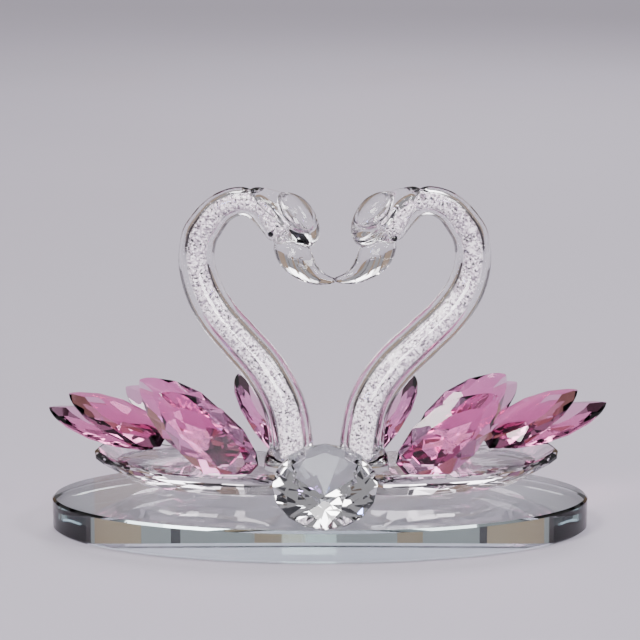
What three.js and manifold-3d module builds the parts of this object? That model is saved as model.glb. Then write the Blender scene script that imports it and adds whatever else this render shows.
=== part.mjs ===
// Pair of crystal swans on an oval glass slab, with a cut diamond in front of them.
// Millimetres, +Z up, +X to the right swan, the diamond on the -Y side.
// The origin is the centre of the slab's underside.
import * as THREE from 'three';
import { mergeVertices } from 'three/addons/utils/BufferGeometryUtils.js';
import Module from 'manifold-3d';

const wasm = await Module();
wasm.setup();

// Slab
const slabLength = 200;
const slabDepth = 100;
const slabHeight = 12;
const slabChamfer = 0.9;
const slabFacets = 96;
const slabRoundness = 2;

// Glue line between touching pieces
const glueGap = 0.3;

// Diamond, lying on one main facet of its pavilion
const diamondWidth = 38;
const diamondTableShare = 0.56;
const crownAngle = THREE.MathUtils.degToRad(33);
const pavilionAngle = THREE.MathUtils.degToRad(38.5);
const diamondGirdle = 0.8;
const diamondFrontMargin = 1.4;
const diamondSlip = -0.6;
const diamondKeelShare = 0.28;

// Swan bodies: boat shaped plates with a flat top, a bevelled rim that rises at the tail, and a keel
const pairOffset = 2.4;
const swanYaw = THREE.MathUtils.degToRad(15);
const breastSpace = 4;
const bodyLength = 88;
const bodyWidth = 46;
const bodyHeight = 10.2;
const bodySetback = 7.3;
const bodyTopBevel = 1.6;
const bodyRimHeight = 1.2;
const bodyFacets = 24;
const breastRoundness = 2.5;
const tailRoundness = 2.3;
const tailRise = 4;
const tailRiseStart = 0.4;
// Rings of the hull: share of the length, share of the width, share of the hull's height, shift forward
const hullRings = [
  [0.46, 0.36, 0, 5],
  [0.78, 0.70, 0.36, 3],
  [1, 1, 1, 0],
];
// The flat inside the raised rim, as a share of the plate's outline
const topFlatShare = 0.8;

// Necks with their heads, as shares of the neck's height
const neckHeight = 99.8;
const footInset = 13;
const beakGap = 0.5;
const neckSides = 16;
const neckStepsPerStation = 2;
const leanSpan = [0.254, 0.705];
const domeFacets = [18, 12];

// Eyes
const eyeWidth = 2.2;
const eyeFacets = [10, 7];

// Petals: drops cut from flat facets, with a blunt tip and a rounder root
const petalLength = 46;
const petalWidth = 23;
const petalThickness = 9.5;
const petalGirdle = 0.7;
const petalWidest = 0.42;
const petalTipPower = 2.2;
const petalRootReach = 0.47;
const petalTableShare = 0.58;
// Outline corners, as shares of the length from the root
const petalCorners = [0.985, 0.9, 0.74, 0.52, 0.28, 0.08, 0];
// Slopes of the facets in degrees: along the sides and at the corners, front and back, then the keel
const petalSlopes = { front: 30, frontCorner: 25, back: 31, backCorner: 26, keel: 12 };

// Corners nearer than this are one
const weldSpan = 1e-5;

const bodyTop = slabHeight + glueGap + bodyHeight;
const seatTop = bodyTop + glueGap;
const bodyHalf = bodyLength / 2;

const clearGlass = { color: 0xdfe6ea, roughness: 0.02, metalness: 0 };
const clearCrystal = { color: 0xeef2f6, roughness: 0.02, metalness: 0 };
const neckGlass = { color: 0xe6e2ec, roughness: 0.05, metalness: 0 };
const pinkCrystal = { color: 0xd886b4, roughness: 0.03, metalness: 0 };
const blackGlass = { color: 0x0a0a0c, roughness: 0.1, metalness: 0 };

function finish(looks) {
  return new THREE.MeshStandardMaterial(looks);
}

// A closed body from rings of equally many points, each end closed by a fan round its middle.
function loft(rings) {
  const count = rings[0].length;
  const points = rings.flat();
  const faces = [];
  for (let ring = 0; ring < rings.length - 1; ring += 1) {
    for (let i = 0; i < count; i += 1) {
      const next = (i + 1) % count;
      const [a, b] = [ring * count + i, ring * count + next];
      faces.push([a, b, b + count], [a, b + count, a + count]);
    }
  }
  for (const [ring, turned] of [[0, true], [rings.length - 1, false]]) {
    const middle = points.length;
    const centre = new THREE.Vector3();
    rings[ring].forEach((point) => centre.addScaledVector(point, 1 / count));
    points.push(centre);
    for (let i = 0; i < count; i += 1) {
      const [a, b] = [ring * count + i, ring * count + ((i + 1) % count)];
      faces.push(turned ? [b, a, middle] : [a, b, middle]);
    }
  }
  return facingOut(points, faces);
}

// Turns every face round if the body came out inside out.
function facingOut(points, faces) {
  let volume = 0;
  for (const [a, b, c] of faces) {
    volume += points[a].dot(points[b].clone().cross(points[c]));
  }
  const geometry = new THREE.BufferGeometry();
  const ordered = volume < 0 ? faces.map(([a, b, c]) => [a, c, b]) : faces;
  const places = points.flatMap((point) => point.toArray());
  geometry.setAttribute('position', new THREE.Float32BufferAttribute(places, 3));
  geometry.setIndex(ordered.flat());
  return geometry;
}

function toSolid(geometry) {
  const bare = geometry.clone();
  bare.deleteAttribute('normal');
  bare.deleteAttribute('uv');
  const merged = mergeVertices(bare, weldSpan);
  return new wasm.Manifold(new wasm.Mesh({
    numProp: 3,
    vertProperties: new Float32Array(merged.getAttribute('position').array),
    triVerts: new Uint32Array(merged.getIndex().array),
  }));
}

function toGeometry(solid) {
  const mesh = solid.getMesh();
  const geometry = new THREE.BufferGeometry();
  geometry.setAttribute('position', new THREE.BufferAttribute(new Float32Array(mesh.vertProperties), 3));
  geometry.setIndex(new THREE.BufferAttribute(new Uint32Array(mesh.triVerts), 1));
  return geometry;
}

// Mirrors a body across X for the right swan (side = -1).
function mirrored(geometry, side) {
  if (side > 0) return geometry;
  const result = geometry.clone();
  result.scale(-1, 1, 1);
  const index = Array.from(result.getIndex().array);
  for (let i = 0; i < index.length; i += 3) {
    [index[i + 1], index[i + 2]] = [index[i + 2], index[i + 1]];
  }
  result.setIndex(index);
  return result;
}

// An oval ring that can be blunter at the breast (+X) than at the tail (-X).
function ovalRing(count, halfLength, halfWidth, height, bluntFront, bluntBack, shift = 0) {
  const ring = [];
  for (let i = 0; i < count; i += 1) {
    const angle = (2 * Math.PI * (i + 0.5)) / count;
    const [c, s] = [Math.cos(angle), Math.sin(angle)];
    const power = 2 / (c > 0 ? bluntFront : bluntBack);
    ring.push(new THREE.Vector3(
      shift + halfLength * Math.sign(c) * Math.abs(c) ** power,
      halfWidth * Math.sign(s) * Math.abs(s) ** power,
      height,
    ));
  }
  return ring;
}

function slab() {
  const shoulder = slabHeight - slabChamfer;
  const levels = [[slabChamfer, 0], [0, slabChamfer], [0, shoulder], [slabChamfer, slabHeight]];
  return loft(levels.map(([inset, height]) => {
    const [along, across] = [slabLength / 2 - inset, slabDepth / 2 - inset];
    return ovalRing(slabFacets, along, across, height, slabRoundness, slabRoundness);
  }));
}

// Round brilliant: table, stars, kites, girdle halves, pavilion mains and culet.
// Its girdle plane is at zero, and one main facet of the pavilion faces -Y.
function diamond() {
  const radius = diamondWidth / 2;
  const tableRadius = radius * diamondTableShare;
  const starRadius = (radius + tableRadius) / 2;
  const lowerRadius = radius * diamondKeelShare;
  const eighth = Math.PI / 4;
  const at = (r, turn, z) => {
    const angle = -Math.PI / 2 + turn * eighth;
    return new THREE.Vector3(r * Math.cos(angle), r * Math.sin(angle), z);
  };
  const half = diamondGirdle / 2;
  const crownRise = (radius - tableRadius) * Math.tan(crownAngle);
  const starHeight = half + (radius - starRadius * Math.cos(eighth / 2)) * Math.tan(crownAngle);
  const lowerDepth = -half - (radius - lowerRadius * Math.cos(eighth / 2)) * Math.tan(pavilionAngle);
  const culetDepth = -half - radius * Math.tan(pavilionAngle);
  const points = [];
  const faces = [];
  const add = (list) => list.map((point) => points.push(point) - 1);
  const eight = [...Array(8).keys()];
  const sixteen = [...Array(16).keys()];
  const table = add(eight.map((i) => at(tableRadius, i, half + crownRise)));
  const stars = add(eight.map((i) => at(starRadius, i + 0.5, starHeight)));
  const upper = add(sixteen.map((i) => at(radius, i / 2, half)));
  const lower = add(sixteen.map((i) => at(radius, i / 2, -half)));
  const keel = add(eight.map((i) => at(lowerRadius, i + 0.5, lowerDepth)));
  const [middle, culet] = add([at(0, 0, half + crownRise), at(0, 0, culetDepth)]);
  for (const i of eight) {
    const next = (i + 1) % 8;
    const before = (i + 7) % 8;
    const [g, h, k] = [2 * i, 2 * i + 1, (2 * i + 2) % 16];
    faces.push([middle, table[i], table[next]], [table[i], stars[i], table[next]]);
    faces.push([table[i], stars[before], upper[g]], [table[i], upper[g], stars[i]]);
    faces.push([stars[i], upper[g], upper[h]], [stars[i], upper[h], upper[k]]);
    faces.push([keel[i], lower[h], lower[g]], [keel[i], lower[k], lower[h]]);
    faces.push([culet, lower[g], keel[before]], [culet, keel[i], lower[g]]);
  }
  for (const i of sixteen) {
    const next = (i + 1) % 16;
    faces.push([upper[i], lower[i], lower[next]], [upper[i], lower[next], upper[next]]);
  }
  return facingOut(points, faces);
}

// A ring of the plate, raised towards the tail.
function plateRing(halfLength, halfWidth, height, shift = 0) {
  const ring = ovalRing(bodyFacets, halfLength, halfWidth, height, breastRoundness, tailRoundness, shift);
  ring.forEach((point) => {
    point.z += tailRise * THREE.MathUtils.smoothstep(-point.x / bodyHalf, tailRiseStart, 1);
  });
  return ring;
}

// The plate's rings run from the flat under the keel up to the flat inside the rim.
function body() {
  const rim = bodyTop - bodyTopBevel;
  const foot = slabHeight + glueGap;
  const hull = rim - bodyRimHeight - foot;
  const halfWidth = bodyWidth / 2;
  const rings = hullRings.map(([along, across, up, shift]) => (
    plateRing(bodyHalf * along, halfWidth * across, foot + up * hull, shift)
  ));
  rings.push(plateRing(bodyHalf, halfWidth, rim));
  rings.push(plateRing(bodyHalf - bodyTopBevel, halfWidth - bodyTopBevel, bodyTop));
  rings.push(ovalRing(
    bodyFacets, bodyHalf * topFlatShare, halfWidth * topFlatShare, bodyTop, breastRoundness, tailRoundness,
  ));
  return loft(rings);
}

// Stations of the neck and beak: forward, up and half width, per unit of neck height.
// Forward is measured from the foot, up from the flat top of the body.
const neckStations = [
  [0.015, 0.000, 0.103],
  [0.015, 0.040, 0.086],
  [0.014, 0.108, 0.081],
  [-0.004, 0.210, 0.081],
  [-0.043, 0.300, 0.079],
  [-0.102, 0.388, 0.079],
  [-0.183, 0.474, 0.077],
  [-0.263, 0.561, 0.075],
  [-0.318, 0.652, 0.072],
  [-0.347, 0.754, 0.068],
  [-0.339, 0.848, 0.067],
  [-0.311, 0.901, 0.065],
  [-0.266, 0.957, 0.059],
  [-0.215, 0.988, 0.055],
  [-0.163, 0.998, 0.053],
  [-0.113, 0.985, 0.055],
  [-0.067, 0.952, 0.060],
  [-0.018, 0.901, 0.064],
  [0.013, 0.845, 0.066],
  [0.029, 0.809, 0.066],
  [0.045, 0.782, 0.059],
  [0.071, 0.755, 0.046],
  [0.104, 0.732, 0.033],
  [0.136, 0.722, 0.023],
  [0.161, 0.718, 0.016],
  [0.181, 0.718, 0.007],
];
const crestStations = [
  [0.020, 0.961, 0.061],
  [-0.029, 0.982, 0.051],
  [-0.074, 1.012, 0.035],
  [-0.113, 1.033, 0.021],
  [-0.150, 1.047, 0.006],
];
const dome = {
  place: [0.037, 0.936],
  along: 0.11,
  across: 0.079,
  thick: 0.071,
  tipped: THREE.MathUtils.degToRad(56),
};
const eyePlace = [-0.045, 0.89];
const eyeSide = 0.057;
const rightEyeSlip = [0.018, -0.018];

const beakReach = neckStations.at(-1)[0] * neckHeight;
const footForward = bodyHalf - footInset;
const cosYaw = Math.cos(swanYaw);
const bodyCentreX = breastSpace / 2 + bodyHalf * cosYaw;
const footSpan = 2 * (bodyCentreX - footForward * cosYaw);
const leanOver = 2 * beakReach - (footSpan - beakGap) / cosYaw;

// The right neck leans back, in its upper half, by what brings the two beak tips together.
function leanAt(up, side) {
  return side > 0 ? 0 : -leanOver * THREE.MathUtils.smoothstep(up / neckHeight, ...leanSpan);
}

function stationPoint([forward, up], side) {
  const rise = up * neckHeight;
  return new THREE.Vector3(footForward + forward * neckHeight + leanAt(rise, side), 0, seatTop + rise);
}

// A round tube whose half width changes along the stations.
function tube(stations, side) {
  const steps = neckStepsPerStation * (stations.length - 1);
  const points = stations.map((station) => stationPoint(station, side));
  const path = new THREE.CatmullRomCurve3(points, false, 'centripetal');
  const rings = [];
  for (let i = 0; i <= steps; i += 1) {
    const share = i / steps;
    const place = share * (stations.length - 1);
    const before = Math.min(Math.floor(place), stations.length - 2);
    const [low, high] = [stations[before][2], stations[before + 1][2]];
    const radius = THREE.MathUtils.lerp(low, high, place - before) * neckHeight;
    const centre = path.getPoint(share);
    const standing = i === 0 && stations === neckStations;
    const along = standing ? new THREE.Vector3(0, 0, 1) : path.getTangent(share);
    const across = new THREE.Vector3(0, 1, 0);
    const outward = new THREE.Vector3().crossVectors(across, along).normalize();
    const ring = [];
    for (let k = 0; k < neckSides; k += 1) {
      const angle = (2 * Math.PI * k) / neckSides;
      ring.push(centre.clone()
        .addScaledVector(outward, radius * Math.cos(angle))
        .addScaledVector(across, radius * Math.sin(angle)));
    }
    rings.push(ring);
  }
  return loft(rings);
}

function headDome(side) {
  const geometry = new THREE.SphereGeometry(neckHeight, ...domeFacets);
  geometry.scale(dome.along, dome.across, dome.thick);
  geometry.rotateY(dome.tipped);
  const centre = stationPoint(dome.place, side);
  return geometry.translate(centre.x, centre.y, centre.z);
}

function eyeBall(side, away, radius) {
  const slip = side > 0 ? [0, 0] : rightEyeSlip;
  const centre = stationPoint([eyePlace[0] + slip[0], eyePlace[1] + slip[1]], side);
  const ball = new THREE.SphereGeometry(radius, ...eyeFacets);
  return ball.translate(centre.x, away * neckHeight * eyeSide, centre.z);
}

function neckWithHead(side) {
  let solid = toSolid(tube(neckStations, side))
    .add(toSolid(tube(crestStations, side)))
    .add(toSolid(headDome(side)));
  for (const away of [-1, 1]) {
    solid = solid.subtract(toSolid(eyeBall(side, away, eyeWidth / 2 + glueGap)));
  }
  return toGeometry(solid);
}

// Half the width of a petal at a share of its length from the root.
function petalEdge(share) {
  const wide = share > petalWidest
    ? 1 - ((share - petalWidest) / (1 - petalWidest)) ** petalTipPower
    : Math.sqrt(1 - ((petalWidest - share) / petalRootReach) ** 2);
  return wide * (petalWidth / 2);
}

// Cuts away all that lies past a plane through a point, on the side that the normal shows.
function cutPast(solid, point, normal) {
  const inward = normal.clone().negate();
  return solid.trimByPlane(inward.toArray(), inward.dot(point));
}

// A drop along +Y with its root at zero and its table looking along +Z, cut facet by facet.
function petal() {
  const half = petalThickness / 2;
  const rim = petalGirdle / 2;
  const near = petalCorners.map((share) => new THREE.Vector3(petalEdge(share), share * petalLength, 0));
  const far = near.map((point) => new THREE.Vector3(-point.x, point.y, 0)).reverse();
  const corners = [...near, ...far];
  const sides = corners.map((corner, i) => {
    const edge = corners[(i + 1) % corners.length].clone().sub(corner).normalize();
    return new THREE.Vector3(-edge.y, edge.x, 0).negate();
  });
  const middle = new THREE.Vector3(0, petalWidest * petalLength, 0);
  let solid = toSolid(new THREE.BoxGeometry(2 * petalLength, 4 * petalLength, petalLength));
  const cut = (point, flat, slope, up) => {
    const turn = THREE.MathUtils.degToRad(slope);
    const normal = flat.clone().multiplyScalar(Math.sin(turn)).setZ(up * Math.cos(turn));
    solid = cutPast(solid, point, normal);
  };
  corners.forEach((corner, i) => {
    const out = sides[i].dot(corner.clone().sub(middle)) < 0 ? sides[i].clone().negate() : sides[i];
    const last = sides[(i + sides.length - 1) % sides.length];
    const before = last.dot(corner.clone().sub(middle)) < 0 ? last.clone().negate() : last;
    const between = out.clone().add(before).normalize();
    solid = cutPast(solid, corner, out);
    cut(corner.clone().setZ(rim), out, petalSlopes.front, 1);
    cut(corner.clone().setZ(rim), between, petalSlopes.frontCorner, 1);
    cut(corner.clone().setZ(-rim), out, petalSlopes.back, -1);
    cut(corner.clone().setZ(-rim), between, petalSlopes.backCorner, -1);
    cut(middle.clone().setZ(-half), out, petalSlopes.keel, -1);
  });
  return cutPast(solid, new THREE.Vector3(0, 0, half * petalTableShare), new THREE.Vector3(0, 0, 1));
}

// The half length and the half width of the plate that the seats below are given for.
const seatedOn = [44, 23];

// Each petal in its swan's own frame (forward, away from the viewer, height over the body's top):
// where its tip is, the point its root heads for, the way its front looks, how much farther forward
// and up the tip of the right swan's petal stands, its share of the full petal size, and for one of
// them the petal that it is glued on.
const petalSeats = {
  front: {
    tip: [-13.5, -19, 30.8],
    root: [17, -14, 2.8],
    face: [0, -1, 0.35],
    slip: [-1.6, -0.8],
    size: 1,
  },
  upper: {
    tip: [-29, 4.5, 29.8],
    root: [9, 4, 0.8],
    face: [0, -1, 0.4],
    slip: [3, 2.3],
    size: 1,
  },
  rear: {
    tip: [-40.9, 21.7, 21.8],
    root: [1.2, 22.7, 1],
    face: [0, -0.5, 0.87],
    slip: [4, 2.2],
    size: 0.94,
  },
  tail: {
    tip: [-56.9, 2, 22.6],
    root: [-15.7, 7.5, 3.9],
    face: [0, -0.4, 0.92],
    slip: [2.5, 1.6],
    size: 0.9,
    on: 'outer',
  },
  outer: {
    tip: [-68, 9.5, 14.6],
    root: [-25, 10, 4],
    face: [0, -0.25, 0.97],
    slip: [-1.2, 1.9],
    size: 1,
  },
  back: {
    tip: [-0.5, 39, 25.8],
    root: [27, 14.5, -0.2],
    face: [0.8, -0.2, 0.6],
    slip: [0.3, -0.5],
    size: 1,
  },
};

// A point of a seat. Lengths along and across the body follow its half length and half width.
function seatPoint([along, across, up]) {
  const [halfLength, halfWidth] = seatedOn;
  const halfSpan = bodyWidth / 2;
  return new THREE.Vector3((along * bodyHalf) / halfLength, (across * halfSpan) / halfWidth, bodyTop + up);
}

// Where a petal lies: its own frame, with its size in it.
function petalFrame({ tip, root, face, slip, size }, side) {
  const end = seatPoint(tip);
  if (side < 0) end.add(new THREE.Vector3(slip[0], 0, slip[1]));
  const along = seatPoint(root).sub(end).normalize().negate();
  const look = new THREE.Vector3(...face);
  look.addScaledVector(along, -look.dot(along)).normalize();
  const across = new THREE.Vector3().crossVectors(along, look);
  const frame = new THREE.Matrix4().makeBasis(across, along, look);
  frame.scale(new THREE.Vector3(size, size, size));
  return frame.setPosition(end.addScaledVector(along, -size * petalLength));
}

// A petal laid along its seat, ground to fit the top of the body and the table of the petal under it.
function seatedPetal(place, side) {
  const seat = petalSeats[place];
  const flat = new THREE.Vector3(0, 0, seatTop);
  let solid = petal().transform(petalFrame(seat, side).toArray());
  solid = cutPast(solid, flat, new THREE.Vector3(0, 0, -1));
  solid = solid.subtract(toSolid(body()).translate([0, 0, glueGap]));
  if (seat.on) {
    const under = petalFrame(petalSeats[seat.on], side);
    const look = new THREE.Vector3().setFromMatrixColumn(under, 2).normalize();
    const table = new THREE.Vector3(0, 0, (petalThickness / 2) * petalTableShare).applyMatrix4(under);
    solid = cutPast(solid, table.addScaledVector(look, glueGap), look.negate());
  }
  return toGeometry(solid);
}

function named(name, geometry, looks) {
  const mesh = new THREE.Mesh(geometry, finish(looks));
  mesh.name = name;
  return mesh;
}

function swan(label, side) {
  const group = new THREE.Group();
  group.position.set(pairOffset - side * bodyCentreX, bodySetback, 0);
  group.rotation.z = -side * swanYaw;
  group.add(named(`${label}_body`, mirrored(body(), side), clearCrystal));
  group.add(named(`${label}_neck_and_head`, mirrored(neckWithHead(side), side), neckGlass));
  for (const [eye, away] of [['near', -1], ['far', 1]]) {
    group.add(named(`${label}_eye_${eye}`, mirrored(eyeBall(side, away, eyeWidth / 2), side), blackGlass));
  }
  for (const place of Object.keys(petalSeats)) {
    group.add(named(`${label}_petal_${place}`, mirrored(seatedPetal(place, side), side), pinkCrystal));
  }
  return group;
}

function restingDiamond() {
  const mesh = named('diamond', diamond(), clearCrystal);
  const radius = diamondWidth / 2;
  const half = diamondGirdle / 2;
  const front = -slabDepth / 2 + diamondFrontMargin;
  mesh.rotation.x = pavilionAngle;
  mesh.position.set(
    pairOffset + diamondSlip,
    front + radius * Math.cos(pavilionAngle) - half * Math.sin(pavilionAngle),
    slabHeight + glueGap + radius * Math.sin(pavilionAngle) + half * Math.cos(pavilionAngle),
  );
  return mesh;
}

const group = new THREE.Group();
group.add(named('base_slab', slab(), clearGlass));
group.add(swan('left', 1));
group.add(swan('right', -1));
group.add(restingDiamond());

export default group;
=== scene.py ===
import bpy
import bmesh
import math
import numpy as np
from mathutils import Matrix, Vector


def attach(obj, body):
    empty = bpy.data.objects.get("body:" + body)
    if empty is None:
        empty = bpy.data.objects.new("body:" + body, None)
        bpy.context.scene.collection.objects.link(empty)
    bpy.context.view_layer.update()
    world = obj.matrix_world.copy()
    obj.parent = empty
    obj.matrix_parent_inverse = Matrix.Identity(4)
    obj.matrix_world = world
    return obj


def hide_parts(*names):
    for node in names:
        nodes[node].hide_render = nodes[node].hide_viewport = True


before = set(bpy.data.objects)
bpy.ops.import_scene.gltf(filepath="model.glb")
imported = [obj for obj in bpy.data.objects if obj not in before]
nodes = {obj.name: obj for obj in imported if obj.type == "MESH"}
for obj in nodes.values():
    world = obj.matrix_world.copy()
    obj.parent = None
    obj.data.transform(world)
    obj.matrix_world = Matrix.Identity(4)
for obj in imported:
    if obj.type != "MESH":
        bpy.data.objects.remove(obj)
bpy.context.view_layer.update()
print("frame loaded,", len(nodes), "nodes")

mm = 0.001

# camera fitted to the slab's rims: it stands a metre off and looks down a little
cameraSetup = {
    "distance": 1.0,
    "pitch": math.radians(11.8),
    "aimHeight": 0.0786,
    "lens": 152.4,
    "sensor": 36.0,
    "near": 0.05,
    "far": 60.0,
}


def makeCamera(s):
    data = bpy.data.cameras.new("photoCamera")
    data.lens = s["lens"]
    data.sensor_width = s["sensor"]
    data.clip_start = s["near"]
    data.clip_end = s["far"]
    camera = bpy.data.objects.new("photoCamera", data)
    bpy.context.scene.collection.objects.link(camera)
    back, up = s["distance"] * math.cos(s["pitch"]), s["distance"] * math.sin(s["pitch"])
    camera.location = (0.0, -back, s["aimHeight"] + up)
    camera.rotation_euler = (math.pi / 2 - s["pitch"], 0.0, 0.0)
    bpy.context.scene.camera = camera


makeCamera(cameraSetup)


# Materials


def newMaterial(name):
    material = bpy.data.materials.new(name)
    material.use_nodes = True
    tree = material.node_tree
    return material, tree, tree.nodes["Principled BSDF"]


def noiseOnObject(tree, scale, detail, low, high, start=0.35, end=0.65):
    place = tree.nodes.new("ShaderNodeTexCoord")
    noise = tree.nodes.new("ShaderNodeTexNoise")
    noise.inputs["Scale"].default_value = scale
    noise.inputs["Detail"].default_value = detail
    spread = tree.nodes.new("ShaderNodeMapRange")
    for key, value in (("From Min", start), ("From Max", end), ("To Min", low), ("To Max", high)):
        spread.inputs[key].default_value = value
    tree.links.new(place.outputs["Object"], noise.inputs["Vector"])
    tree.links.new(noise.outputs["Fac"], spread.inputs["Value"])
    return spread


def roughenedBy(tree, shader, s):
    gloss = noiseOnObject(tree, s["glossScale"], s.get("glossDetail", 2.0), *s["gloss"])
    tree.links.new(gloss.outputs["Result"], shader.inputs["Roughness"])


def clearMaterial(name, s):
    material, tree, shader = newMaterial(name)
    shader.inputs["Base Color"].default_value = (*s["tint"], 1.0)
    shader.inputs["Transmission Weight"].default_value = 1.0
    shader.inputs["IOR"].default_value = s["ior"]
    roughenedBy(tree, shader, s)
    if s.get("wave"):
        ripple = noiseOnObject(tree, s["waveScale"], 1.0, 0.0, 1.0, 0.0, 1.0)
        bump = tree.nodes.new("ShaderNodeBump")
        bump.inputs["Strength"].default_value = s["wave"]
        bump.inputs["Distance"].default_value = s["waveHeight"]
        tree.links.new(ripple.outputs["Result"], bump.inputs["Height"])
        tree.links.new(bump.outputs["Normal"], shader.inputs["Normal"])
    if s.get("density"):
        volume = tree.nodes.new("ShaderNodeVolumeAbsorption")
        volume.inputs["Color"].default_value = (*s["depthColour"], 1.0)
        volume.inputs["Density"].default_value = s["density"]
        tree.links.new(volume.outputs["Volume"], tree.nodes["Material Output"].inputs["Volume"])
    return material


def solidMaterial(name, s):
    material, tree, shader = newMaterial(name)
    shader.inputs["Base Color"].default_value = (*s["colour"], 1.0)
    roughenedBy(tree, shader, s)
    return material


slabGlass = clearMaterial("slabGlass", {
    "tint": (0.985, 0.995, 0.99), "ior": 1.52, "gloss": (0.0, 0.02), "glossScale": 25.0,
    "depthColour": (0.45, 0.78, 0.80), "density": 5.0,
})
clearCrystal = clearMaterial("clearCrystal", {
    "tint": (0.99, 0.99, 1.0), "ior": 1.56, "gloss": (0.0, 0.015), "glossScale": 60.0,
})
blownGlass = clearMaterial("blownGlass", {
    "tint": (0.99, 0.985, 0.99), "ior": 1.5, "gloss": (0.0, 0.02), "glossScale": 40.0,
    "wave": 0.15, "waveScale": 90.0, "waveHeight": 0.0004,
})
pinkCrystal = clearMaterial("pinkCrystal", {
    "tint": (0.98, 0.67, 0.865), "ior": 1.56, "gloss": (0.0, 0.015), "glossScale": 60.0,
    "depthColour": (0.95, 0.45, 0.76), "density": 50.0,
})
tailCrystal = clearMaterial("tailCrystal", {
    "tint": (0.97, 0.59, 0.80), "ior": 1.56, "gloss": (0.0, 0.015), "glossScale": 60.0,
    "depthColour": (0.93, 0.38, 0.68), "density": 60.0,
})
# painted shade: the real body is clear crystal, and this grey-lilac tint darkens it
shadeTintedBodyCrystal = clearMaterial("shadeTintedBodyCrystal", {
    "tint": (0.905, 0.85, 0.89), "ior": 1.56, "gloss": (0.0, 0.015), "glossScale": 60.0,
})


def crushedMaterial(name, s):
    material, tree, shader = newMaterial(name)
    spot = tree.nodes.new("ShaderNodeTexCoord")
    cells = tree.nodes.new("ShaderNodeTexVoronoi")
    cells.inputs["Scale"].default_value = s["cells"]
    split = tree.nodes.new("ShaderNodeSeparateColor")
    ramp = tree.nodes.new("ShaderNodeValToRGB")
    ramp.color_ramp.interpolation = "CONSTANT"
    stops = ramp.color_ramp.elements
    for number, (start, colour) in enumerate(s["shades"]):
        stop = stops[number] if number < 2 else stops.new(start)  # a new ramp has two stops already
        stop.position = start
        stop.color = (*colour, 1.0)
    tree.links.new(spot.outputs["Object"], cells.inputs["Vector"])
    tree.links.new(cells.outputs["Color"], split.inputs["Color"])
    heights = tree.nodes.new("ShaderNodeSeparateXYZ")
    tree.links.new(spot.outputs["Object"], heights.inputs["Vector"])
    paintedLightByHeight = tree.nodes.new("ShaderNodeMapRange")  # painted light and shade: the fill is painted whiter at the foot, where light from below catches it, and darker up in the bend
    settings = {"From Min": "foot", "From Max": "head", "To Min": "footLightPower", "To Max": "bendShadePower"}
    for key, setting in settings.items():
        paintedLightByHeight.inputs[key].default_value = s[setting]
    tree.links.new(heights.outputs["Z"], paintedLightByHeight.inputs["Value"])
    shade = tree.nodes.new("ShaderNodeMath")
    shade.operation = "POWER"
    tree.links.new(split.outputs["Red"], shade.inputs[0])
    tree.links.new(paintedLightByHeight.outputs["Result"], shade.inputs[1])
    tree.links.new(shade.outputs["Value"], ramp.inputs["Fac"])
    tree.links.new(ramp.outputs["Color"], shader.inputs["Base Color"])
    roughenedBy(tree, shader, s)
    shader.inputs["Specular IOR Level"].default_value = s["shine"]
    return material


# shades run from the commonest grain to the rarest, foot and head are heights in metres; the two powers
# paint light at the foot and shade in the bend
crushedCrystal = crushedMaterial("crushedCrystal", {
    "cells": 1500.0, "foot": 0.025, "head": 0.095, "footLightPower": 1.7, "bendShadePower": 0.95,
    "shades": [(0.0, (1.0, 0.94, 0.985)), (0.30, (0.76, 0.67, 0.75)), (0.50, (0.48, 0.41, 0.48)),
               (0.70, (0.28, 0.23, 0.28)), (0.86, (0.10, 0.08, 0.10)), (0.95, (0.02, 0.02, 0.025))],
    "gloss": (0.05, 0.25), "glossScale": 700.0, "shine": 1.0,
})
petalGlue = solidMaterial("petalGlue", {
    "colour": (0.93, 0.86, 0.91), "gloss": (0.15, 0.4), "glossScale": 500.0, "glossDetail": 3.0,
})
blackBead = solidMaterial("blackBead", {
    "colour": (0.006, 0.006, 0.008), "gloss": (0.04, 0.12), "glossScale": 900.0,
})
print("materials made")


# Mesh helpers


def meshObject(name, points, faces, material, smooth=False):
    mesh = bpy.data.meshes.new(name)
    mesh.from_pydata([tuple(p) for p in points], [], [tuple(f) for f in faces])
    mesh.update()
    mesh.materials.append(material)
    thing = bpy.data.objects.new(name, mesh)
    bpy.context.scene.collection.objects.link(thing)
    mesh.polygons.foreach_set("use_smooth", [smooth] * len(mesh.polygons))
    return thing


def ringFaces(rings, count):
    faces = []
    for ring in range(rings - 1):
        for i in range(count):
            a, b = ring * count + i, ring * count + (i + 1) % count
            faces.append((a, b, b + count, a + count))
    faces.append(tuple(reversed(range(count))))
    faces.append(tuple(range((rings - 1) * count, rings * count)))
    return faces


def outward(thing):
    work = bmesh.new()
    work.from_mesh(thing.data)
    bmesh.ops.recalc_face_normals(work, faces=work.faces)
    work.to_mesh(thing.data)
    work.free()


def letLightThrough(thing):
    thing.visible_shadow = False  # clear pieces let the lamps reach what is under and inside them


def place(piece, slotName, *replaced):
    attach(piece, "root")
    if replaced:
        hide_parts(*replaced)


# Slab

slab = {"length": 200.0, "depth": 100.0, "height": 12.0, "chamfer": 0.9, "facets": 360}


def makeSlab(s):
    c = s["chamfer"]
    levels = [(c, 0.0), (0.0, c), (0.0, s["height"] - c), (c, s["height"])]
    points = []
    for inset, height in levels:
        for i in range(s["facets"]):
            turn = 2 * math.pi * i / s["facets"]
            points.append((mm * (s["length"] / 2 - inset) * math.cos(turn),
                           mm * (s["depth"] / 2 - inset) * math.sin(turn), mm * height))
    piece = meshObject("baseSlab", points, ringFaces(len(levels), s["facets"]), slabGlass)
    outward(piece)
    place(piece, "base_glass", "base_slab")


makeSlab(slab)
print("slab made")


# Swans

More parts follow.
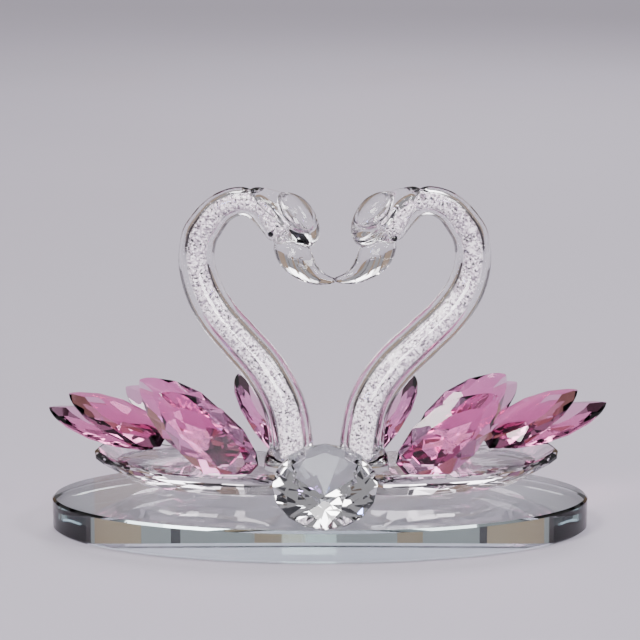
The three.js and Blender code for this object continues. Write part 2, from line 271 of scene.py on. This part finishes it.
swan = {
    "bodyTop": 22.5, "seatTop": 22.8, "bodyHalf": 44.0, "yaw": math.radians(15.0),
    "pairOffset": 2.4, "breastSpace": 4.0, "setback": 7.3,
    "neckHeight": 99.8, "footInset": 13.0, "beakGap": 0.5, "beakReach": 0.181,
    "leanFrom": 0.254, "leanTo": 0.705,
    "voxel": 0.42, "grooveDepth": 1.0, "grooveWidth": 0.55, "crestBlend": 1.5,
}
# stations of the neck and beak: forward, up and half width, per unit of neck height
neckStations = [
    (0.015, -0.021, 0.104), (0.015, 0.018, 0.100), (0.015, 0.040, 0.086), (0.014, 0.108, 0.081),
    (-0.004, 0.210, 0.081), (-0.043, 0.300, 0.079), (-0.102, 0.388, 0.079), (-0.183, 0.474, 0.077),
    (-0.263, 0.561, 0.075), (-0.318, 0.652, 0.072), (-0.347, 0.754, 0.068), (-0.339, 0.848, 0.067),
    (-0.311, 0.901, 0.065), (-0.266, 0.957, 0.059), (-0.215, 0.988, 0.055), (-0.163, 0.998, 0.053),
    (-0.113, 0.985, 0.055), (-0.067, 0.952, 0.060), (-0.018, 0.901, 0.064), (0.006, 0.878, 0.065),
]
beakStations = [
    (-0.010, 0.878, 0.053), (0.011, 0.845, 0.062), (0.027, 0.809, 0.064), (0.045, 0.782, 0.057),
    (0.071, 0.755, 0.045), (0.104, 0.732, 0.032), (0.136, 0.722, 0.022), (0.161, 0.718, 0.015),
    (0.174, 0.718, 0.011),
]
crestStations = [
    (0.020, 0.951, 0.069), (-0.029, 0.969, 0.067), (-0.074, 0.985, 0.062), (-0.113, 1.008, 0.045),
    (-0.147, 1.030, 0.021), (-0.163, 1.042, 0.007),
]
dome = {
    "place": (0.037, 0.936), "along": 0.110, "across": 0.071, "lateral": 0.079,
    "tipped": math.radians(56),
}

# folds pressed into both sides of the left (1) and the right (-1) head: depth, width and route
creases = {
    1: [(0.7, 0.5, [(-0.096, 0.994), (-0.065, 0.972), (-0.038, 0.950), (-0.029, 0.919), (-0.012, 0.894),
                    (0.015, 0.867), (0.041, 0.852), (0.068, 0.851)]),
        (1.0, 0.7, [(0.007, 0.919), (0.021, 0.897), (0.040, 0.872)])],
    -1: [(0.6, 0.5, [(-0.066, 0.987), (-0.039, 0.972), (-0.024, 0.950), (-0.018, 0.928), (-0.007, 0.900)]),
         (1.0, 0.6, [(0.109, 0.867), (0.086, 0.871), (0.064, 0.885), (0.041, 0.901), (0.018, 0.909),
                     (0.001, 0.895)])],
}

cosYaw = math.cos(swan["yaw"])
bodyCentreX = swan["breastSpace"] / 2 + swan["bodyHalf"] * cosYaw
footForward = swan["bodyHalf"] - swan["footInset"]
footSpan = 2 * (bodyCentreX - footForward * cosYaw)
beakReach = swan["beakReach"] * swan["neckHeight"]
leanOver = 2 * beakReach - (footSpan - swan["beakGap"]) / cosYaw


def leanAt(share, side):
    span = swan["leanTo"] - swan["leanFrom"]
    t = np.clip((np.asarray(share, float) - swan["leanFrom"]) / span, 0.0, 1.0)
    return 0.0 * t if side > 0 else -leanOver * t * t * (3 - 2 * t)


def inSwan(forward, up, side):
    up = np.asarray(up, float)
    x = footForward + np.asarray(forward, float) * swan["neckHeight"] + leanAt(up, side)
    return np.stack([x, 0.0 * x, swan["seatTop"] + up * swan["neckHeight"]], -1)


def smoothPath(stations, side, step=0.3):
    rows = np.array(stations)
    padded = np.vstack([2 * rows[0] - rows[1], rows, 2 * rows[-1] - rows[-2]])
    out = []
    for i in range(1, len(rows)):
        p0, p1, p2, p3 = padded[i - 1:i + 3]
        count = max(2, int(np.linalg.norm((p2 - p1)[:2]) * swan["neckHeight"] / step))
        t = np.linspace(0, 1, count, endpoint=False)[:, None]
        out.append(0.5 * (2 * p1 + (p2 - p0) * t + (2 * p0 - 5 * p1 + 4 * p2 - p3) * t ** 2
                          + (3 * p1 - p0 - 3 * p2 + p3) * t ** 3))
    out.append(rows[-1:])
    rows = np.vstack(out)
    return inSwan(rows[:, 0], rows[:, 1], side), rows[:, 2] * swan["neckHeight"]


def tubeField(path, stride=5, batch=8000, reach=8):
    centres, radii = path
    near = {"count": 0}

    def distance(points):
        # the nearest stretch of the tube is found once, and later only its neighbours are tried
        if len(points) != near["count"]:
            index = np.empty(len(points), int)
            for start in range(0, len(points), batch):
                part = points[start:start + batch]
                away = np.linalg.norm(part[:, None] - centres[None, ::stride], axis=2)
                away = away - radii[None, ::stride]
                index[start:start + batch] = away.argmin(1) * stride
            near.update(count=len(points), index=index)
        window = np.clip(near["index"][:, None] + np.arange(-reach, reach + 1)[None], 0, len(centres) - 1)
        return (np.linalg.norm(points[:, None] - centres[window], axis=2) - radii[window]).min(1)

    return distance


def ellipsoidDistance(points, centre, halves, tipped):
    c, s = math.cos(tipped), math.sin(tipped)
    q = points - centre
    along = q[:, 0] * c - q[:, 2] * s
    across = q[:, 0] * s + q[:, 2] * c
    local = np.stack([along, q[:, 1], across], -1) / halves
    k0 = np.linalg.norm(local, axis=1)
    k1 = np.linalg.norm(local / halves, axis=1)
    return k0 * (k0 - 1.0) / np.maximum(k1, 1e-9)


def blendedMin(a, b, k):
    h = np.clip(0.5 + 0.5 * (b - a) / k, 0, 1)
    return b * (1 - h) + a * h - k * h * (1 - h)


def grooved(a, b):
    return np.minimum(a, b) + swan["grooveDepth"] * np.exp(-((a - b) / swan["grooveWidth"]) ** 2)


def domeHalves():
    return np.array([dome["along"], dome["lateral"], dome["across"]]) * swan["neckHeight"]


def creaseField(route, side):
    corners = inSwan(*np.array(route).T, side)[:, [0, 2]]

    def distance(points):
        spots = points[:, [0, 2]]
        near = np.full(len(spots), 1e3)
        for start, end in zip(corners, corners[1:]):
            along = end - start
            share = np.clip((spots - start) @ along / (along @ along), 0, 1)
            near = np.minimum(near, np.linalg.norm(spots - start - share[:, None] * along, axis=1))
        return near

    return distance


def neckForm(side):
    paths = [smoothPath(stations, side) for stations in (neckStations, beakStations, crestStations)]
    neckField, beakField, crestField = [tubeField(path) for path in paths]
    domeCentre = inSwan(*dome["place"], side)
    folds = [(depth, width, creaseField(route, side)) for depth, width, route in creases[side]]

    def distance(points):
        hood = ellipsoidDistance(points, domeCentre, domeHalves(), dome["tipped"])
        head = blendedMin(hood, crestField(points), swan["crestBlend"])
        form = grooved(grooved(neckField(points), beakField(points)), head)
        for depth, width, field in folds:
            form = form + depth * np.exp(-(field(points) / width) ** 2)
        return form

    return distance, paths


def spheres(centres, radii, segments=16, rings=8):
    base = bmesh.new()
    bmesh.ops.create_uvsphere(base, u_segments=segments, v_segments=rings, radius=1.0)
    unit = np.array([v.co[:] for v in base.verts])
    faces = [[v.index for v in f.verts] for f in base.faces]
    base.free()
    points, every = [], []
    for centre, radius in zip(centres, radii):
        offset = len(points) * len(unit)
        points.append(unit * radius + centre)
        every += [[i + offset for i in face] for face in faces]
    return np.vstack(points), every


def toWorld(points, side):
    yaw = -side * swan["yaw"]
    x, y = side * points[:, 0], points[:, 1]
    c, s = math.cos(yaw), math.sin(yaw)
    return np.stack([
        swan["pairOffset"] - side * bodyCentreX + x * c - y * s,
        swan["setback"] + x * s + y * c,
        points[:, 2],
    ], -1) * mm


def evaluatedMesh(thing):
    graph = bpy.context.evaluated_depsgraph_get()
    graph.update()
    return bpy.data.meshes.new_from_object(thing.evaluated_get(graph))


def remeshed(points, faces, voxel):
    rough = meshObject("rough", points, faces, blownGlass)
    change = rough.modifiers.new("voxels", "REMESH")
    change.mode = "VOXEL"
    change.voxel_size = voxel
    mesh = evaluatedMesh(rough)
    found = np.array([v.co[:] for v in mesh.vertices])
    quads = [tuple(p.vertices) for p in mesh.polygons]
    bpy.data.objects.remove(rough)
    return found, quads


def settle(points, faces, distance, rounds=4, tries=2, step=0.05, flattest=0.25):
    work = bmesh.new()
    verts = [work.verts.new(p) for p in points]
    for face in faces:
        work.faces.new([verts[i] for i in face])
    work.verts.index_update()
    edges = np.array([(e.verts[0].index, e.verts[1].index) for e in work.edges])
    work.free()
    degree = np.bincount(edges.ravel(), minlength=len(points))[:, None]
    for turn in range(rounds):
        if turn < rounds - 1:
            total = np.zeros_like(points)
            np.add.at(total, edges[:, 0], points[edges[:, 1]])
            np.add.at(total, edges[:, 1], points[edges[:, 0]])
            points = points * 0.5 + 0.5 * total / degree
        for again in range(tries):
            value = distance(points)
            slope = np.stack([distance(points + step * axis) - value for axis in np.eye(3)], -1) / step
            length = np.maximum((slope ** 2).sum(1, keepdims=True), flattest)
            points = points - value[:, None] * slope / length
    return points


def cutFoot(thing, height):
    work = bmesh.new()
    work.from_mesh(thing.data)
    geometry = work.verts[:] + work.edges[:] + work.faces[:]
    cut = bmesh.ops.bisect_plane(work, geom=geometry, plane_co=(0, 0, height), plane_no=(0, 0, -1),
                                 clear_outer=True)
    edges = [e for e in cut["geom_cut"] if isinstance(e, bmesh.types.BMEdge)]
    bmesh.ops.contextual_create(work, geom=edges)
    work.to_mesh(thing.data)
    work.free()


# the bore: its share of the neck's width, where it widens for the cheek, and how its two ends round off
bore = {
    "share": 0.56, "cheekShare": 0.76, "widest": 0.081, "from": 1.6, "until": 0.835, "sides": 32,
    "flareFrom": 22.0, "flareOver": 16.0, "footEnd": 2.0, "headEnd": 4.0, "tip": 0.02,
}
# the fill lies a little inside the bore
fill = {
    "slack": 0.4, "raised": 0.7, "shortened": 0.006, "sides": 24,
    "grain": 1.0, "smallest": 0.30, "largest": 0.55, "turn": 6.283, "density": 1.15, "seed": 7,
}


def roundedEnd(done, span):
    return math.sqrt(max(0.0, 1 - (1 - min(done / span, 1)) ** 2)) + bore["tip"]


def boreTube(neck, sides, first, last, slack, stride=2):
    centres, radii = neck
    heights = centres[:, 2] - swan["seatTop"]
    apex = int(np.argmax(heights))
    start = int(np.argmax(heights > first))
    past = heights[apex:] < last * swan["neckHeight"]
    stop = apex + int(np.argmax(past)) if past.any() else len(centres)
    picked = np.arange(start, stop, stride)
    run = np.concatenate([[0], np.cumsum(np.linalg.norm(np.diff(centres[picked], axis=0), axis=1))])
    points = []
    for k, i in enumerate(picked):
        along = centres[min(i + 1, len(centres) - 1)] - centres[max(i - 1, 0)]
        along /= np.linalg.norm(along)
        across = np.array([0.0, 1.0, 0.0])
        out = np.cross(across, along)
        left = run[-1] - run[k]
        wider = min(1.0, max(0.0, (bore["flareFrom"] - left) / bore["flareOver"])) ** 2
        share = bore["share"] + (bore["cheekShare"] - bore["share"]) * wider
        radius = min(radii[i], bore["widest"] * swan["neckHeight"]) * share - slack
        ends = min(1.0, roundedEnd(run[k], bore["footEnd"]), roundedEnd(left, bore["headEnd"]))
        for j in range(sides):
            turn = 2 * math.pi * j / sides
            points.append(centres[i] + radius * ends * (math.cos(turn) * out + math.sin(turn) * across))
    return np.array(points), ringFaces(len(picked), sides)


def crushedFillTree():
    tree = bpy.data.node_groups.new("crushedFill", "GeometryNodeTree")
    face = tree.interface
    face.new_socket("Geometry", in_out="INPUT", socket_type="NodeSocketGeometry")
    for name in ("Grain Width", "Grains Per Square Millimetre"):
        face.new_socket(name, in_out="INPUT", socket_type="NodeSocketFloat")
    face.new_socket("Seed", in_out="INPUT", socket_type="NodeSocketInt")
    face.new_socket("Material", in_out="INPUT", socket_type="NodeSocketMaterial")
    face.new_socket("Geometry", in_out="OUTPUT", socket_type="NodeSocketGeometry")
    add, link = tree.nodes.new, tree.links.new
    source, result = add("NodeGroupInput"), add("NodeGroupOutput")
    scatter = add("GeometryNodeDistributePointsOnFaces")
    perMetre = add("ShaderNodeMath")  # from grains per square millimetre to grains per square metre
    perMetre.operation = "MULTIPLY"
    perMetre.inputs[1].default_value = 1.0e6
    link(source.outputs["Grains Per Square Millimetre"], perMetre.inputs[0])
    link(source.outputs["Geometry"], scatter.inputs["Mesh"])
    link(perMetre.outputs[0], scatter.inputs["Density"])
    link(source.outputs["Seed"], scatter.inputs["Seed"])
    grain = add("GeometryNodeMeshIcoSphere")
    grain.inputs["Subdivisions"].default_value = 1
    link(source.outputs["Grain Width"], grain.inputs["Radius"])
    turn = add("FunctionNodeRandomValue")
    turn.data_type = "FLOAT_VECTOR"
    turn.inputs["Max"].default_value = (fill["turn"],) * 3
    link(source.outputs["Seed"], turn.inputs["Seed"])
    size = add("FunctionNodeRandomValue")
    size.data_type = "FLOAT_VECTOR"
    size.inputs["Min"].default_value = (fill["smallest"],) * 3
    size.inputs["Max"].default_value = (fill["largest"],) * 3
    link(source.outputs["Seed"], size.inputs["Seed"])
    spread = add("GeometryNodeInstanceOnPoints")
    link(scatter.outputs["Points"], spread.inputs["Points"])
    link(grain.outputs["Mesh"], spread.inputs["Instance"])
    link(turn.outputs["Value"], spread.inputs["Rotation"])
    link(size.outputs["Value"], spread.inputs["Scale"])
    together = add("GeometryNodeJoinGeometry")
    link(source.outputs["Geometry"], together.inputs["Geometry"])
    link(spread.outputs["Instances"], together.inputs["Geometry"])
    real, paint = add("GeometryNodeRealizeInstances"), add("GeometryNodeSetMaterial")
    link(together.outputs["Geometry"], real.inputs["Geometry"])
    link(real.outputs["Geometry"], paint.inputs["Geometry"])
    link(source.outputs["Material"], paint.inputs["Material"])
    link(paint.outputs["Geometry"], result.inputs["Geometry"])
    return tree


fillTree = crushedFillTree()


def bakeNodes(thing, tree, values):
    change = thing.modifiers.new(tree.name, "NODES")
    change.node_group = tree
    for item in tree.interface.items_tree:
        if item.in_out == "INPUT" and item.name in values:
            change[item.identifier] = values[item.name]
    mesh = evaluatedMesh(thing)
    thing.modifiers.clear()
    thing.data = mesh
    return thing


# hollows left in the glass of the left (1) and the right (-1) head: place, how deep they lie under the near
# side (none: in the middle), half sizes and tip
hollows = {
    1: [((0.063, 0.778), 1.0, (1.35, 0.45, 0.70), 0.0), ((0.067, 0.804), 1.2, (0.9, 0.4, 0.45), 0.0),
        ((0.032, 0.965), None, (8.6, 5.2, 4.3), math.radians(50))],
    -1: [((0.145, 0.732), 0.5, (1.6, 0.3, 0.35), 0.0), ((0.054, 0.799), 1.2, (1.0, 0.4, 0.7), 0.0),
         ((0.030, 0.968), None, (8.2, 5.2, 4.4), math.radians(46))],
}


def turnedEllipsoid(halves, tipped, segments=32, rings=16):
    unit, faces = spheres([np.zeros(3)], [1.0], segments, rings)
    unit = unit * halves
    c, s = math.cos(tipped), math.sin(tipped)
    along, across = unit[:, 0] * c + unit[:, 2] * s, -unit[:, 0] * s + unit[:, 2] * c
    return np.stack([along, unit[:, 1], across], -1), faces


def roughForm(paths, side, stride=3):
    centres = np.vstack([path[0][::stride] for path in paths])
    radii = np.concatenate([path[1][::stride] for path in paths])
    points, faces = spheres(centres, radii)
    turned, more = turnedEllipsoid(domeHalves(), dome["tipped"])
    faces += [[i + len(points) for i in face] for face in more]
    return remeshed(np.vstack([points, turned + inSwan(*dome["place"], side)]), faces, swan["voxel"])


def addHollow(work, points, faces):
    inner = [work.verts.new(p) for p in points]
    made = [work.faces.new([inner[i] for i in face]) for face in faces]
    bmesh.ops.recalc_face_normals(work, faces=made)
    bmesh.ops.reverse_faces(work, faces=made)
    for face in made:
        face.smooth = True


def makeNeck(label, side):
    distance, paths = neckForm(side)
    neck, beak = paths[:2]
    points, faces = roughForm(paths, side)
    shell = meshObject(f"{label}NeckGlass", settle(points, faces, distance), faces, blownGlass, smooth=True)
    outward(shell)
    cutFoot(shell, swan["seatTop"])
    work = bmesh.new()
    work.from_mesh(shell.data)
    addHollow(work, *boreTube(neck, bore["sides"], bore["from"], bore["until"], 0.0))
    for spot, deep, halves, tipped in hollows[side]:
        centre = inSwan(*spot, side)
        if deep is not None:
            nearest = int(np.argmin(np.linalg.norm(beak[0] - centre, axis=1)))
            centre = centre - np.array([0.0, beak[1][nearest] - deep, 0.0])
        shape, rings = turnedEllipsoid(halves, tipped)
        addHollow(work, shape + centre, rings)
    coords = toWorld(np.array([v.co[:] for v in work.verts]), side)
    for v, co in zip(work.verts, coords):
        v.co = co
    if side < 0:
        bmesh.ops.reverse_faces(work, faces=work.faces)
    work.to_mesh(shell.data)
    work.free()
    letLightThrough(shell)
    place(shell, "neck_glass", f"{label}_neck_and_head")
    first, last = bore["from"] + fill["raised"], bore["until"] + fill["shortened"]
    core = boreTube(neck, fill["sides"], first, last, fill["slack"])
    packed = meshObject(f"{label}CrushedFill", toWorld(core[0], side), core[1], crushedCrystal)
    outward(packed)
    bakeNodes(packed, fillTree, {
        "Grain Width": fill["grain"] * mm, "Grains Per Square Millimetre": fill["density"],
        "Seed": fill["seed"] + (side > 0), "Material": crushedCrystal,
    })
    place(packed, "neck_glass")
    print(label, "neck:", len(shell.data.polygons), "faces, fill:", len(packed.data.polygons))


for label, side in (("left", 1), ("right", -1)):
    makeNeck(label, side)

# the CAD pieces that are shown as they are, and what each is made of
looks = {
    "body": shadeTintedBodyCrystal, "diamond": clearCrystal, "eye": blackBead,
    "petal_front": pinkCrystal, "petal_upper": pinkCrystal, "petal_rear": tailCrystal,
    "petal_tail": tailCrystal, "petal_outer": tailCrystal, "petal_back": pinkCrystal,
}
for name, thing in nodes.items():
    for key, material in looks.items():
        if key in name:
            thing.data.materials.clear()
            thing.data.materials.append(material)
            if material != blackBead:
                letLightThrough(thing)
print("faceted pieces dressed")

# glue under the petals, seen through them as pale patches: each pad stops a little inside the ground face
glue = {"inset": 0.82, "sunk": 0.06, "level": 0.02, "sides": 24}


def gluePad(name, thing, s):
    points = np.array([v.co[:] for v in thing.data.vertices]) / mm
    low = points[points[:, 2] < swan["seatTop"] + s["level"]][:, :2]
    if len(low) < 3:  # its ground face isn't on the level top of the body
        return
    middle = low.mean(0)
    turns = np.arctan2(*(low - middle).T[::-1])
    rim = []
    for turn in np.linspace(-math.pi, math.pi, s["sides"], endpoint=False):
        nearest = low[np.argsort(np.abs(np.angle(np.exp(1j * (turns - turn)))))[:2]]
        rim.append(middle + (nearest.mean(0) - middle) * s["inset"])
    levels = (swan["bodyTop"] - s["sunk"], swan["seatTop"] + s["sunk"])
    corners = [(x * mm, y * mm, z * mm) for z in levels for x, y in rim]
    pad = meshObject(name, corners, ringFaces(2, len(rim)), petalGlue)
    outward(pad)
    place(pad, "clear_crystal")


for name, thing in nodes.items():
    if "petal" in name:
        gluePad(name.replace("_petal_", "_glue_"), thing, glue)
print("glue pads laid")


# Studio

studio = {
    "world": (0.80, 0.78, 0.83), "worldStrength": 0.42,
    "floor": {"reach": 20.0, "gap": 0.0003, "colour": (0.49, 0.455, 0.525),
              "gloss": (0.55, 0.68), "glossScale": 3.0, "glossDetail": 3.0},
    "lights": [
        ("keyLight", (-0.7, -0.9, 1.3), 0.5, 19.0, (1.0, 0.97, 0.95)),
        ("fillLight", (1.1, -0.5, 0.9), 0.35, 9.0, (0.95, 0.96, 1.0)),
        ("backLight", (0.3, 1.3, 1.0), 0.9, 11.0, (0.97, 0.96, 1.0)),
        ("topLight", (0.0, 0.1, 1.6), 0.5, 8.0, (1.0, 1.0, 1.0)),
        ("backdropLight", (0.0, 4.2, 3.0), 3.0, 95.0, (1.0, 0.97, 1.0)),
        ("frontLight", (0.1, -1.6, 0.42), 0.45, 13.0, (1.0, 0.97, 0.98)),
        ("blueGlint", (-0.55, -0.7, 0.35), 0.07, 0.35, (0.35, 0.42, 1.0)),
        ("violetGlint", (0.6, -0.65, 0.45), 0.07, 0.35, (0.62, 0.40, 1.0)),
    ],
    "aim": (0, 0, 0.06),
    "softOnly": ("backLight", "backdropLight"),  # lamps whose own shape isn't mirrored in the glass
    "overhead": {"reach": 0.42, "height": 0.8, "colour": (0.03, 0.03, 0.035)},
    "cardRoughness": 0.9,
    "cardColours": {
        "umber": (0.045, 0.034, 0.036), "black": (0.012, 0.012, 0.016), "blueBlack": (0.012, 0.014, 0.018),
        "soot": (0.02, 0.02, 0.025), "brown": (0.10, 0.075, 0.055), "slate": (0.03, 0.03, 0.035),
        "ink": (0.015, 0.015, 0.02), "sand": (0.34, 0.25, 0.17), "ash": (0.05, 0.045, 0.05),
        "clay": (0.30, 0.22, 0.15),
    },
    # cards that only the glass sees: way round from the camera, distance, width, head and colour
    "cards": [
        (-106, 1.0, 1.15, 0.42, "umber"), (106, 1.0, 1.15, 0.42, "umber"),
        (-82, 0.9, 0.10, 0.9, "black"), (84, 0.9, 0.14, 0.9, "blueBlack"),
        (-112, 0.9, 0.08, 0.9, "black"), (118, 0.9, 0.09, 0.9, "blueBlack"),
        (-58, 1.1, 0.22, 0.8, "soot"), (-36, 1.2, 0.14, 0.7, "brown"),
        (-12, 1.3, 0.30, 0.6, "black"), (18, 1.3, 0.20, 0.6, "slate"),
        (42, 1.2, 0.28, 0.8, "ink"), (62, 1.1, 0.10, 0.8, "brown"),
        (-152, 1.5, 0.60, 0.9, "sand"), (150, 1.5, 0.56, 0.9, "sand"),
        (-164, 1.4, 0.03, 0.8, "ash"), (167, 1.4, 0.03, 0.8, "ash"),
        (177, 1.5, 0.10, 0.8, "clay"), (-173, 1.5, 0.06, 0.8, "clay"),
    ],
}


def levelSquare(name, reach, height, material):
    corners = [(x * reach, y * reach, height) for x, y in ((-1, -1), (1, -1), (1, 1), (-1, 1))]
    return meshObject(name, corners, [(0, 1, 2, 3)], material)


def makeFloor(s):
    floor = levelSquare("floor", s["reach"], -s["gap"], solidMaterial("paleFloor", s))


def makeLamp(name, where, size, power, colour):
    data = bpy.data.lights.new(name, "AREA")
    data.shape = "SQUARE"
    data.size = size
    data.energy = power
    data.color = colour
    lamp = bpy.data.objects.new(name, data)
    bpy.context.scene.collection.objects.link(lamp)
    lamp.location = where
    lamp.visible_glossy = name not in studio["softOnly"]
    lamp.rotation_euler = (Vector(studio["aim"]) - Vector(where)).to_track_quat("-Z", "Y").to_euler()


def cardMaterial(name, colour):
    material, tree, shader = newMaterial(name)
    shader.inputs["Base Color"].default_value = (*colour, 1.0)
    shader.inputs["Roughness"].default_value = studio["cardRoughness"]
    return material


def hideCard(card):
    card.visible_camera = False
    card.visible_shadow = False
    card.visible_diffuse = False


def makeCard(name, turn, away, width, head, colour):
    angle = math.radians(turn)
    out = Vector((math.sin(angle), -math.cos(angle), 0)) * away
    side = Vector((math.cos(angle), math.sin(angle), 0)) * width / 2
    corners = [out + side * k + Vector((0, 0, z)) for k, z in ((-1, 0.0), (1, 0.0), (1, head), (-1, head))]
    material = cardMaterial(name, studio["cardColours"][colour])
    hideCard(meshObject(name, corners, [(0, 1, 2, 3)], material))


def lightWorld(colour, strength):
    world = bpy.context.scene.world or bpy.data.worlds.new("studio")
    bpy.context.scene.world = world
    world.use_nodes = True
    back = world.node_tree.nodes["Background"]
    back.inputs["Color"].default_value = (*colour, 1.0)
    back.inputs["Strength"].default_value = strength


def makeStudio(s):
    makeFloor(s["floor"])
    for lamp in s["lights"]:
        makeLamp(*lamp)
    for number, card in enumerate(s["cards"]):
        makeCard(f"card{number}", *card)
    above = s["overhead"]
    hideCard(levelSquare("overheadCard", above["reach"], above["height"],
                         cardMaterial("overheadCard", above["colour"])))
    lightWorld(s["world"], s["worldStrength"])


makeStudio(studio)
print("studio made")
